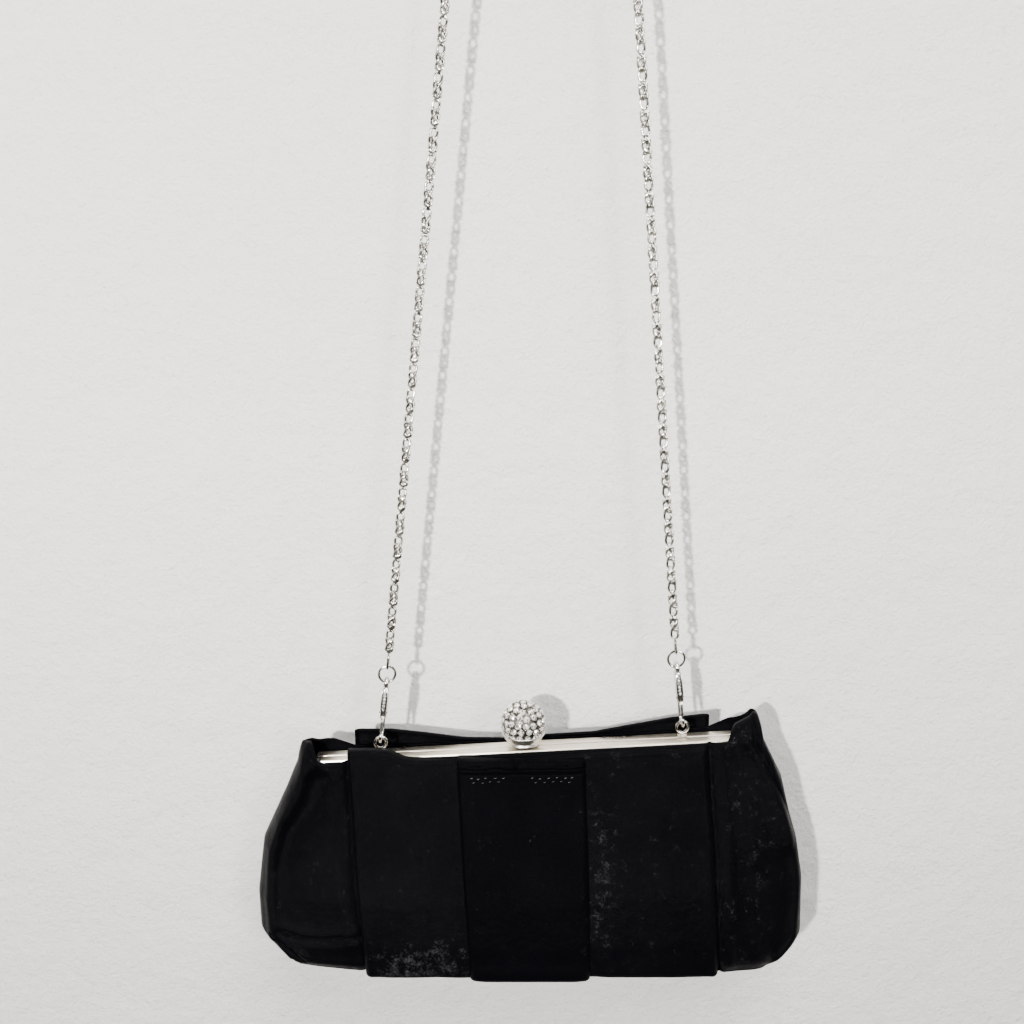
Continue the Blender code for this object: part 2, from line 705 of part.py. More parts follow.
def lean_everything():
    """Apply the lean to each finished piece and to its origin."""
    for item in bpy.data.objects:
        if item.type == "CURVE":
            for point in item.data.splines[0].points:
                point.co = (*leaned(*point.co[:3]), 1.0)
            continue
        old = tuple(item.location)
        new = leaned(*old)
        for vert in item.data.vertices:
            place = leaned(*[a + b for a, b in zip(vert.co, old)])
            vert.co = [a - b for a, b in zip(place, new)]
        item.location = new


def main():
    clear_scene()
    make_frame()
    make_lugs()
    make_strap()
    make_rings()
    make_clips()
    make_clasp()
    make_fabric()
    make_base()
    place_origins()
    lean_everything()


main()
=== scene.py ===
import math
import random

import bpy
import numpy as np
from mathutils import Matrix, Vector, noise


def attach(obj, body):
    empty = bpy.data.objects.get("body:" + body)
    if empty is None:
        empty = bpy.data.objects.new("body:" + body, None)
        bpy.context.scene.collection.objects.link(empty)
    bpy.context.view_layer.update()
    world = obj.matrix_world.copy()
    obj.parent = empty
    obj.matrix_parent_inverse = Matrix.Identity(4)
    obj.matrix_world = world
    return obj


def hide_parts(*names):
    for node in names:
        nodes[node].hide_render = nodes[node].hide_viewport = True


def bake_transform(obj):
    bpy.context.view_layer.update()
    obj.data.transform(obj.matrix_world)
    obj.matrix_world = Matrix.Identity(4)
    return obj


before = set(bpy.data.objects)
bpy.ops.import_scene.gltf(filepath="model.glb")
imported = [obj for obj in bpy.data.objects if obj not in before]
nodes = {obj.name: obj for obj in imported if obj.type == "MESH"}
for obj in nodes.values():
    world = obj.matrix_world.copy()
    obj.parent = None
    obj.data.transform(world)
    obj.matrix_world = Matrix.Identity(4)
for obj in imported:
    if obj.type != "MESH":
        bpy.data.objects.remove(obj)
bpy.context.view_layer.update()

MM = 0.001
FRAME_TOP_Z = -0.373
LEAN_SLOPE = 0.0545
LEAN_H = (-0.0950, -0.0360, 0.0450, 0.3300)
LEAN_SHARE = (0.0, 1.0, 1.0, 0.0)
random.seed(7)


# ---------------------------------------------------------------- camera
CAMERA_AT = (-0.0084, -0.4224, -0.1978)
CAMERA_TILT = math.radians(80.3)
LENS = 36.0
SENSOR = 36.0


def make_camera():
    data = bpy.data.cameras.new("camera")
    data.lens = LENS
    data.sensor_width = SENSOR
    data.clip_start = 0.01
    camera = bpy.data.objects.new("camera", data)
    camera.location = CAMERA_AT
    camera.rotation_euler = (CAMERA_TILT, 0.0, 0.0)
    bpy.context.scene.collection.objects.link(camera)
    bpy.context.scene.camera = camera


make_camera()


# ---------------------------------------------------------------- placing
def leaned(x, y, h):
    """A point given by its height over the frame top, with the bag's lean."""
    share = float(np.interp(h, LEAN_H, LEAN_SHARE))
    return Vector((x, y, FRAME_TOP_Z + h + x * LEAN_SLOPE * share))


def lerp(a, b, t):
    return a + (b - a) * t


def smooth(t):
    t = min(1.0, max(0.0, t))
    return t * t * (3.0 - 2.0 * t)


def interp(x, xs, ys):
    return float(np.interp(x, xs, ys))


def new_object(name, verts, faces, material, body, smooth_shade=True):
    mesh = bpy.data.meshes.new(name)
    mesh.from_pydata([tuple(v) for v in verts], [], faces)
    mesh.validate()
    made = bpy.data.objects.new(name, mesh)
    bpy.context.scene.collection.objects.link(made)
    mesh.materials.append(material)
    mesh.polygons.foreach_set("use_smooth", [smooth_shade] * len(mesh.polygons))
    if body:
        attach(made, body)
    return made


def grid_faces(rows, cols, offset=0, close=False):
    faces = []
    span = cols if close else cols - 1
    for r in range(rows - 1):
        for c in range(span):
            a = offset + r * cols + c
            b = offset + r * cols + (c + 1) % cols
            faces.append((a, b, b + cols, a + cols))
    return faces


# ---------------------------------------------------------------- materials
class Nodes:
    """A short way to build a node tree on a Principled shader."""

    def __init__(self, name, colour, roughness, metallic=0.0, **sockets):
        self.material = bpy.data.materials.new(name)
        self.material.use_nodes = True
        self.tree = self.material.node_tree
        self.shader = self.tree.nodes["Principled BSDF"]
        self.set("Base Color", (*colour, 1.0))
        self.set("Roughness", roughness)
        self.set("Metallic", metallic)
        for key, value in sockets.items():
            self.set(key.replace("_", " "), value)
        self.place = self.tree.nodes.new("ShaderNodeTexCoord").outputs["Object"]

    def set(self, socket, value):
        self.shader.inputs[socket].default_value = value

    def add(self, kind, **values):
        node = self.tree.nodes.new("ShaderNode" + kind)
        for key, value in values.items():
            setattr(node, key, value)
        return node

    def link(self, out, into):
        self.tree.links.new(out, into)

    def stretch(self, scale):
        node = self.add("Mapping")
        node.inputs["Scale"].default_value = scale
        self.link(self.place, node.inputs["Vector"])
        return node.outputs["Vector"]

    def noise(self, scale, detail=3.0, rough=0.55, vector=None):
        node = self.add("TexNoise")
        node.inputs["Scale"].default_value = scale
        node.inputs["Detail"].default_value = detail
        node.inputs["Roughness"].default_value = rough
        self.link(vector or self.place, node.inputs["Vector"])
        return node.outputs["Fac"]

    def wave(self, scale, direction="X", distortion=0.0, vector=None):
        node = self.add("TexWave", bands_direction=direction)
        node.inputs["Scale"].default_value = scale
        node.inputs["Distortion"].default_value = distortion
        node.inputs["Detail Scale"].default_value = 3.0
        self.link(vector or self.place, node.inputs["Vector"])
        return node.outputs["Fac"]

    def ramp(self, source, stops):
        node = self.add("ValToRGB")
        ramp = node.color_ramp
        while len(ramp.elements) < len(stops):
            ramp.elements.new(0.5)
        for element, (place, colour) in zip(ramp.elements, stops):
            element.position = place
            element.color = (*colour, 1.0) if len(colour) == 3 else colour
        self.link(source, node.inputs["Fac"])
        return node.outputs["Color"]

    def remap(self, source, low, high, to_low, to_high):
        node = self.add("MapRange")
        for key, value in (("From Min", low), ("From Max", high), ("To Min", to_low), ("To Max", to_high)):
            node.inputs[key].default_value = value
        self.link(source, node.inputs["Value"])
        return node.outputs["Result"]

    def math(self, operation, a, b):
        node = self.add("Math", operation=operation)
        for socket, value in zip(node.inputs, (a, b)):
            if isinstance(value, (int, float)):
                socket.default_value = value
            else:
                self.link(value, socket)
        return node.outputs[0]

    def mix(self, factor, a, b):
        node = self.add("Mix", data_type="RGBA")
        for socket, value in ((node.inputs[0], factor), (node.inputs[6], a), (node.inputs[7], b)):
            if isinstance(value, tuple):
                socket.default_value = (*value, 1.0)
            elif isinstance(value, float):
                socket.default_value = value
            else:
                self.link(value, socket)
        return node.outputs[2]

    def bump(self, source, distance, strength=1.0, before=None):
        node = self.add("Bump")
        node.inputs["Distance"].default_value = distance
        node.inputs["Strength"].default_value = strength
        self.link(source, node.inputs["Height"])
        if before:
            self.link(before, node.inputs["Normal"])
        return node.outputs["Normal"]

    def use(self, socket, source):
        self.link(source, self.shader.inputs[socket])

    def attribute(self, name):
        return self.add("Attribute", attribute_name=name).outputs["Fac"]


def satin(name, deep, pale, roughness, gloss):
    """Black satin: fine crossed weave, soft uneven sheen, a little lint."""
    n = Nodes(name, deep, roughness, Sheen_Weight=0.004, Sheen_Roughness=0.45,
              Specular_IOR_Level=gloss, Anisotropic=0.3)
    n.set("Sheen Tint", (0.72, 0.72, 0.86, 1.0))
    soft = n.noise(28.0, 4.0, 0.6)
    colour = n.ramp(soft, ((0.30, deep), (0.72, pale)))
    threads = n.math("ADD", n.wave(2100.0, "X"), n.wave(2600.0, "Z"))
    slub = n.noise(900.0, 2.0, 0.7, n.stretch((1.0, 1.0, 0.18)))
    grain = n.noise(260.0, 5.0, 0.75, n.stretch((1.0, 1.0, 0.35)))
    rough = n.remap(grain, 0.25, 0.75, roughness - 0.07, roughness + 0.13)
    n.use("Roughness", rough)
    speck = n.math("MULTIPLY", n.noise(1250.0, 3.0, 0.85), n.noise(210.0, 3.0, 0.65))
    lit = n.remap(n.math("ADD", speck, n.math("MULTIPLY", n.attribute("lint"), 0.155)), 0.38, 0.52, 0.0, 1.0)
    colour = n.mix(lit, colour, (0.019, 0.019, 0.0195))
    n.use("Base Color", colour)
    wrinkle = n.bump(n.noise(85.0, 5.0, 0.62), 0.0011, 0.55)
    woven = n.bump(threads, 0.00004, 0.55, wrinkle)
    n.use("Normal", n.bump(slub, 0.00005, 0.6, woven))
    return n.material


def metal(name, colour, dark, roughness, streaks=0.0, dark_patch_scale=160.0, grain=620.0, shaded_seam=False):
    """Plated metal with uneven gloss and darker patches at random, painted dark reflections on the chain; if
    asked, streaks along it or a dark line of painted shade where the frame halves meet.
    """
    n = Nodes(name, colour, roughness, 1.0)
    # darker patches at random; on the chain they are painted dark reflections
    base = n.ramp(n.noise(dark_patch_scale, 4.0, 0.6), ((0.34, dark), (0.60, colour)))
    n.use("Roughness", n.remap(n.noise(grain, 4.0, 0.7), 0.3, 0.7, roughness * 0.75, roughness * 1.35))
    lines = n.noise(700.0, 2.0, 0.5, n.stretch((0.015, 1.0, 1.0)))
    n.use("Normal", n.bump(lines, 0.00012, streaks))
    if shaded_seam:
        # painted shade: a dark line along y = 0, where the two frame halves meet
        split = n.add("SeparateXYZ")
        n.link(n.place, split.inputs[0])
        off = n.math("ABSOLUTE", split.outputs[1], 0.0)
        near = n.remap(off, 0.00020, 0.00050, 1.0, 0.0)
        base = n.mix(near, base, (0.10, 0.085, 0.07))
    n.use("Base Color", base)
    return n.material


def stone_glass():
    """Cut glass with a silvered back: very smooth, its colour painted in patches of bright highlights and
    dark reflections.
    """
    n = Nodes("cut_stone", (0.95, 0.95, 0.93), 0.04, 0.55, Coat_Weight=1.0, Coat_Roughness=0.02)
    painted_glint = n.noise(1500.0, 1.0, 0.5)
    # painted highlights and dark reflections: a near-white base with darker and paler patches
    n.use("Base Color", n.ramp(painted_glint, ((0.42, (0.16, 0.15, 0.14)), (0.49, (0.90, 0.88, 0.83)),
                                      (0.62, (1.0, 0.98, 0.93)))))
    n.use("Roughness", n.remap(painted_glint, 0.3, 0.7, 0.02, 0.12))
    return n.material


def plain_cloth(name, deep, pale):
    n = Nodes(name, deep, 0.6, Sheen_Weight=0.15, Sheen_Roughness=0.5)
    n.use("Base Color", n.ramp(n.noise(60.0, 4.0, 0.6), ((0.3, deep), (0.7, pale))))
    threads = n.math("ADD", n.wave(1500.0, "X"), n.wave(1500.0, "Z"))
    n.use("Normal", n.bump(threads, 0.00005, 0.5, n.bump(n.noise(90.0, 4.0), 0.0008, 0.4)))
    return n.material


def board():
    n = Nodes("stiff_board", (0.11, 0.105, 0.10), 0.75)
    flecks = n.noise(220.0, 5.0, 0.7)
    n.use("Base Color", n.ramp(flecks, ((0.3, (0.07, 0.066, 0.06)), (0.7, (0.15, 0.14, 0.13)))))
    n.use("Normal", n.bump(n.noise(800.0, 4.0, 0.7), 0.0001, 0.5))
    return n.material


SATIN = satin("black_satin", (0.0008, 0.0008, 0.0012), (0.0017, 0.0017, 0.0023), 0.30, 0.014)
KNOT_SATIN = satin("knot_satin", (0.0007, 0.0007, 0.0011), (0.0012, 0.0012, 0.0017), 0.33, 0.009)
LINING = plain_cloth("lining_cloth", (0.012, 0.012, 0.014), (0.022, 0.022, 0.026))
THREAD = plain_cloth("stitch_thread", (0.018, 0.018, 0.020), (0.055, 0.055, 0.058))
# the frame metal carries a painted shade line where the two frame halves meet
GOLD = metal("champagne_metal", (0.85, 0.775, 0.665), (0.73, 0.64, 0.53), 0.30, 0.0, 30.0, 25.0, True)
CUP = metal("cup_metal", (0.80, 0.78, 0.72), (0.60, 0.58, 0.53), 0.33, 0.0, 90.0)
SILVER = metal("silver_metal", (0.74, 0.72, 0.68), (0.42, 0.40, 0.37), 0.18, 0.1)
# the chain's darker patches are painted dark reflections
CHAIN = metal("chain_metal", (0.70, 0.67, 0.61), (0.16, 0.15, 0.13), 0.16, 0.1, 420.0)
DARK = metal("setting_metal", (0.16, 0.15, 0.135), (0.03, 0.03, 0.03), 0.35, 0.1)
SETTING = metal("prong_metal", (0.42, 0.39, 0.34), (0.10, 0.09, 0.08), 0.25, 0.1, 900.0)
STONE = stone_glass()
BOARD = board()


# ---------------------------------------------------------------- chain strap
STRAP_ROUTE = ((0.06125, 0.0448), (0.0554, 0.1075), (0.0496, 0.1700), (0.0433, 0.2370),
               (0.0372, 0.3030), (0.0328, 0.3430), (0.0250, 0.3630), (0.0132, 0.3722))
DRIFT_H = (0.0448, 0.3430, 0.3722)
DRIFT_X = (0.0, 0.0035, 0.0010)
CHAIN_RADIUS = 0.0018
UNIT = 0.0103


def smooth_route(knots, spacing):
    """Evenly spaced points on a smooth curve through the knots."""
    ends = [knots[0] * 2 - knots[1]] + knots + [knots[-1] * 2 - knots[-2]]
    fine = []
    for a, b, c, d in zip(ends, ends[1:], ends[2:], ends[3:]):
        for i in range(40):
            t = i / 40
            fine.append(b + 0.5 * t * (c - a + t * (2 * a - 5 * b + 4 * c - d
                                                    + t * (3 * (b - c) + d - a))))
    fine.append(knots[-1])
    lengths = [0.0]
    for a, b in zip(fine, fine[1:]):
        lengths.append(lengths[-1] + float(np.linalg.norm(b - a)))
    count = round(lengths[-1] / spacing)
    places = [lengths[-1] * i / count for i in range(count + 1)]
    return [np.array([np.interp(s, lengths, [p[k] for p in fine]) for k in range(3)]) for s in places]


def tube(path, radius, sides, closed, flat=1.0, up=None):
    """Vertices and faces of a round wire along points, flattened if asked."""
    path = [Vector(p) for p in path]
    count = len(path)
    verts = []
    faces = []
    normal = None
    for i, p in enumerate(path):
        a = path[(i - 1) % count] if closed else path[max(i - 1, 0)]
        b = path[(i + 1) % count] if closed else path[min(i + 1, count - 1)]
        along = (b - a).normalized()
        if normal is None:
            guess = up or (Vector((0, 1, 0)) if abs(along.y) < 0.8 else Vector((1, 0, 0)))
            normal = guess
        normal = (normal - along * normal.dot(along)).normalized()
        side = along.cross(normal)
        r = radius[i] if isinstance(radius, (list, tuple)) else radius
        for k in range(sides):
            t = 2 * math.pi * k / sides
            verts.append(p + side * (r * math.cos(t)) + normal * (r * flat * math.sin(t)))
    for i in range(count if closed else count - 1):
        for k in range(sides):
            m = (k + 1) % sides
            j = (i + 1) % count
            faces.append((i * sides + k, i * sides + m, j * sides + m, j * sides + k))
    if not closed:
        faces.append(tuple(reversed(range(sides))))
        faces.append(tuple((count - 1) * sides + k for k in range(sides)))
    return verts, faces


def chain_unit():
    """One link in its own space: x across, y out of the chain's plane, z along it."""
    wires = []
    hairpin = []
    for i in range(18):
        t = 2 * math.pi * i / 18
        wide = 1.42 * (1.0 + 0.10 * math.sin(t))
        hairpin.append((wide * math.cos(t), 0.15 * math.sin(2 * t), 8.25 + 2.15 * math.sin(t)))
    wires.append((hairpin, 0.56, True))
    for k in range(3):
        path = []
        for i in range(9):
            t = i / 8
            turn = 2 * math.pi * (0.55 * t + k / 3) + 0.35
            reach = 0.50 + 1.08 * smooth(t * 2.2)
            path.append((reach * math.cos(turn), 0.62 * reach * math.sin(turn), 0.2 + 6.9 * t))
        wires.append((path, 0.55, False))
    for k in range(2):
        path = []
        for i in range(8):
            t = i / 7
            turn = -2 * math.pi * (0.5 * t + k / 2) + 1.2
            reach = 0.40 + 0.95 * smooth(t * 2.2)
            path.append((reach * math.cos(turn), 0.7 * reach * math.sin(turn), 0.5 + 6.3 * t))
        wires.append((path, 0.52, False))
    for k in range(2):
        lobe = []
        for i in range(9):
            t = 2 * math.pi * i / 9
            lobe.append(((k - 0.5) * 2.3 + 0.45 * math.cos(t), 0.25 * (1 - 2 * k), 1.9 + 0.8 * math.sin(t)))
        wires.append((lobe, 0.42, True))
    neck = [(0.0, 0.0, -0.7), (0.25, 0.3, 0.3), (-0.2, 0.35, 1.2), (0.3, -0.3, 2.3)]
    wires.append((neck, 0.58, False))
    verts = []
    faces = []
    for path, radius, closed in wires:
        v, f = tube(path, radius, 6, closed)
        base = len(verts)
        verts += v
        faces += [tuple(base + i for i in face) for face in f]
    return np.array([tuple(v) for v in verts]) * MM, faces


def chain_line():
    right = [(interp(h, DRIFT_H, DRIFT_X) + x, 0.0, FRAME_TOP_Z + h) for x, h in STRAP_ROUTE]
    left = [(interp(h, DRIFT_H, DRIFT_X) - x, 0.0, FRAME_TOP_Z + h) for x, h in reversed(STRAP_ROUTE)]
    knots = [np.array(p) for p in right + [(0.0, 0.0, CHAIN_RADIUS)] + left]
    route = smooth_route(list(reversed(knots)), 0.0092)
    return [np.array(leaned(p[0], p[1], p[2] - FRAME_TOP_Z)) for p in route]


def make_chain():
    line = chain_line()
    lengths = np.concatenate(([0.0], np.cumsum([np.linalg.norm(b - a) for a, b in zip(line, line[1:])])))
    total = float(lengths[-1])
    count = round(total / UNIT)
    pitch = total / count
    unit, unit_faces = chain_unit()
    unit[:, 2] *= pitch / UNIT
    table = np.array(line)
    verts = []
    faces = []

    def at(s):
        return np.array([np.interp(s, lengths, table[:, k]) for k in range(3)])

    for i in range(count):
        start = i * pitch
        turn = math.radians(random.uniform(-16, 16))
        base = len(verts)
        for x, y, z in unit:
            s = min(total, max(0.0, start + z))
            p = at(s)
            along = at(min(total, s + 0.002)) - at(max(0.0, s - 0.002))
            along = along / np.linalg.norm(along)
            across = np.array((along[2], 0.0, -along[0]))
            a = x * math.cos(turn) - y * math.sin(turn)
            b = x * math.sin(turn) + y * math.cos(turn)
            verts.append(p + across * a + np.array((0.0, b, 0.0)))
        faces += [tuple(base + k for k in face) for face in unit_faces]
    chain = new_object("chain", verts, faces, CHAIN, "strap")
    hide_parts("chain_strap")
    for side in ("left", "right"):
        nodes[side + "_end_link"].data.materials.clear()
        nodes[side + "_end_link"].data.materials.append(CHAIN)


make_chain()


# ---------------------------------------------------------------- satin body
OUTLINE_H = (-0.0927, -0.0900, -0.0840, -0.0700, -0.0450, -0.0190, 0.0, 0.0080)
OUTLINE_W = (0.1100, 0.1165, 0.1205, 0.1210, 0.1190, 0.1100, 0.1010, 0.0970)
DEPTH_H = (-0.0927, -0.0800, -0.0600, -0.0410, -0.0330, -0.0190, -0.0080, 0.0)
DEPTH_D = (0.0195, 0.0195, 0.0182, 0.0152, 0.0130, 0.0085, 0.0062, 0.0060)
SKIN = 0.0022
BASE = -0.0950
# heights and half-widths in millimetres: the wings' outer edge, and the ridge where the front turns back
EDGE_LEFT = ((-95, -92.9, -85, -77.5, -60, -35, -12, 3, 8.6),
             (103.5, 105.9, 113.0, 119.4, 119.8, 117, 106, 99.6, 97.6))
EDGE_RIGHT = ((-96, -91, -86, -82, -60, -44, -35, -19, 0, 10.2),
              (97, 111, 116.5, 119, 118.4, 115.3, 112.2, 108.4, 99.2, 94.6))
RIDGE_LEFT = ((-95, -92.9, -85, -77, -60, -36, -12, -2, 8.6),
              (98, 99.8, 105.8, 111.2, 112.6, 110.9, 102, 97.6, 94.5))
RIDGE_RIGHT = ((-96, -91, -82, -60, -44, -35, -10, 0, 10.2),
               (94, 105.5, 112.6, 113.2, 110.6, 108.6, 102.6, 97.8, 92.2))


def table(pair, h):
    """A length from a table in millimetres of height and half-width."""
    return interp(h / MM, pair[0], pair[1]) * MM


def depth(x, h):
    """Half-depth of the body's satin at one place, without its folds."""
    half = interp(h, OUTLINE_H, OUTLINE_W)
    inside = interp(h, DEPTH_H, DEPTH_D)
    share = min(1.0, max(0.0, (abs(x) - 0.060) / (half - 0.060)))
    narrowing = min(1.0, max(0.0, (-0.008 - h) / 0.022))
    return inside * (1.0 - 0.38 * share * share * narrowing) + SKIN


def near_line(x, h, line):
    """Distance in millimetres from a place on the front to a line of points."""
    best = 1e9
    for (ax, ah), (bx, bh) in zip(line, line[1:]):
        dx, dh = bx - ax, bh - ah
        t = min(1.0, max(0.0, ((x - ax) * dx + (h - ah) * dh) / (dx * dx + dh * dh)))
        best = min(best, math.hypot(x - ax - t * dx, h - ah - t * dh))
    return best


FRONT_FOLDS = (
    # a line of (x, height) in millimetres, its half-width, how far it stands out
    (((-97, -3), (-100.5, -14), (-108, -26), (-111.5, -38), (-112, -58), (-111, -78)), 2.4, 2.5),
    (((-91, -7), (-95, -20), (-103, -30), (-106, -42)), 4.4, -1.9),
    (((-114.5, -38), (-116, -58), (-115, -76)), 1.6, -0.5),
    (((-79.6, 0), (-77.0, -30), (-74.4, -66), (-72.2, -82), (-70.4, -95)), 1.35, -2.1),
    (((-84.0, -6), (-81.6, -36), (-79.0, -70), (-77.6, -80)), 1.7, 1.0),
    (((-107, -72.5), (-98, -75.6), (-88, -75.4), (-75, -74.2)), 1.7, 1.7),
    (((-109, -76.0), (-98, -79.0), (-86, -78.6), (-75, -77.4)), 1.2, -2.4),
    (((-104, -90.5), (-90, -90.0), (-74, -90.5)), 2.2, 0.7),
    (((-111.5, -76.5), (-106.0, -82.5), (-99.0, -89.5)), 0.9, -2.2),
    (((-109.0, -77.0), (-104.0, -82.2), (-97.5, -87)), 1.2, 1.5),
    (((-103.5, -83.0), (-102.0, -87.0), (-103.5, -91.0)), 0.9, -1.3),
    (((-89, -4), (-86.5, -14), (-88, -28)), 2.2, 0.8),
    (((-96, -46), (-97.5, -62), (-95, -74)), 4.5, -0.5),
    (((76.2, 0), (78.4, -40), (81.6, -95)), 1.15, -2.0),
    (((81.0, -3), (83.6, -40), (86.0, -90)), 2.0, 0.8),
    (((91, 8), (96, -2), (101, -11), (106, -22), (110, -32), (114, -43)), 0.8, -1.5),
    (((89, 8), (93.5, -2), (98.5, -11), (103.5, -22), (107.5, -32), (111.5, -44)), 1.5, 1.0),
    (((86, 2), (90, -10), (97, -24), (103.0, -40)), 2.6, -0.6),
    (((84.5, -6), (88, -16), (93, -32), (95, -50)), 3.0, 0.45),
    (((114.5, -46), (115.0, -66), (113.5, -84), (106, -92)), 1.7, 1.1),
    (((109.0, -50), (109.6, -72), (106, -88)), 2.6, -0.6),
    (((97, -66), (99, -80), (97, -92)), 5.0, 0.45),
    (((90, -40), (101, -52), (112, -56)), 3.0, 0.35),
)


def front_fold(x, h):
    x, h = x / MM, h / MM
    out = 0.0
    for line, wide, high in FRONT_FOLDS:
        d = near_line(x, h, line)
        if d < wide * 3:
            out += high * math.exp(-(d / wide) ** 2)
    return out * MM


def wrinkle(x, h, seed, size):
    """Slow uneven swelling of loose satin."""
    p = Vector((x * 30 + seed, h * 17, seed * 1.7))
    q = Vector((x * 85 - seed, h * 36, seed))
    return size * (noise.noise(p) + 0.35 * noise.noise(q))


ROWS = [0.0, -0.3, -0.7, -1.2] + [-2.2 - 1.32 * i for i in range(66)] + [-89.2, -90.2, -91.1, -91.9, -92.7]
BODY_COLUMNS = 260
RIDGE_AT = 0.80
SAG_X = (-106, -72, 60, 80, 100, 110)
SAG = (0.0, 1.2, 1.2, 2.7, 2.9, 1.2)


def body_shell(name, front, body):
    """The front or back satin: over the wings' tops, down, and in under the base."""
    side = -1.0 if front else 1.0
    verts = []
    lint = []
    for row in range(-6, len(ROWS) + 9):
        for c in range(BODY_COLUMNS + 1):
            u = lerp(-1.0, 1.0, c / BODY_COLUMNS)
            edge, ridge = (EDGE_LEFT, RIDGE_LEFT) if u < 0 else (EDGE_RIGHT, RIDGE_RIGHT)
            q = abs(u)
            peak = 7.4 if u < 0 else 10.2
            if row < 0:
                h = -0.0006
            elif row < len(ROWS):
                h = ROWS[row] * MM - 0.0006
            else:
                h = -0.0933
            out = table(edge, h)
            fold = table(ridge, h)
            if q <= RIDGE_AT:
                x = fold * q / RIDGE_AT
                back = 0.0
            else:
                turn = (q - RIDGE_AT) / (1.0 - RIDGE_AT) * math.pi / 2
                x = fold + (out - fold) * math.sin(turn)
                back = 1.0 - math.cos(turn)
            x = math.copysign(x, u)
            deep = depth(math.copysign(min(abs(x), fold), u), h)
            deep += wrinkle(x, h, 3.1 if front else 8.4, 0.0009) * min(1.0, -h / 0.02)
            if front:
                deep += front_fold(x, h) * (1.0 - back)
            y = side * (deep * (1.0 - back) - 0.0012 * back)
            if row < 0:
                # over the top: low beside the bars, rising to a peak at each end
                t = -row / 6
                near = abs(x) / MM
                tip = 90.5 if u < 0 else 83.0
                rise = smooth((near - tip) / 5.5) if front else smooth((near - 60.0) / 20.0)
                behind = (0.3, 0.6, 5.6, peak - 0.3) if u < 0 else (0.3, 0.6, 5.6, peak)
                top = rise * (interp(near, (tip, tip + 3.5, 97), (0.6, 4.4, peak)) if front
                              else interp(near, (60, 78, 90, 96), behind))
                lip = smooth((near - tip - 0.5) / 5.0) if front else smooth((near - 86.0) / 8.0)
                h = h + (top + 0.6 * rise) * MM * math.sin(t * math.pi / 2)
                y = y * (1.0 - 0.86 * lip * (1.0 - math.cos(t * math.pi / 2)))
                if lip < 0.3:
                    y += side * -0.0003 * (t * t) * (1.0 - lip)
                pull = (peak + 1.0) * MM * t * rise
                x -= math.copysign(pull * 0.28 * smooth((near - 94.0) / 6.0), x)
            elif row < len(ROWS):
                low = smooth((-0.0862 - h) / 0.0075)
                y -= side * 0.0022 * low * low * (1.0 - back)
            else:
                t = (row - len(ROWS) + 1) / 9
                h -= 0.0009 * math.sin(min(1.0, t * 3) * math.pi / 2)
                y = (y - side * 0.0022 * (1.0 - back)) * (1.0 - smooth(t) * (0.985 if t > 0.99 else 1.0))
                x *= 1.0 - 0.012 * t
            h -= interp(x / MM, SAG_X, SAG) * MM * smooth((-0.080 - h) / 0.0133)
            verts.append(leaned(x, y, h))
            near_band = math.exp(-((abs(x) / MM - 92.0) / 14.0) ** 2)
            lint.append(0.4 * near_band if u > 0 else 0.1)
    cols = BODY_COLUMNS + 1
    shell = new_object(name, verts, grid_faces(len(verts) // cols, cols), SATIN, body, True)
    layer = shell.data.attributes.new("lint", "FLOAT", "POINT")
    layer.data.foreach_set("value", lint)
    thick = shell.modifiers.new("cloth", "SOLIDIFY")
    thick.thickness = 0.0006
    thick.offset = -1.0 if front else 1.0
    return shell


def hinge_blend(piece):
    """Cloth that crosses the frame's hinge from the lower bag to the front half: only its placing is baked
    in, and it stays on no body.
    """
    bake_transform(piece)


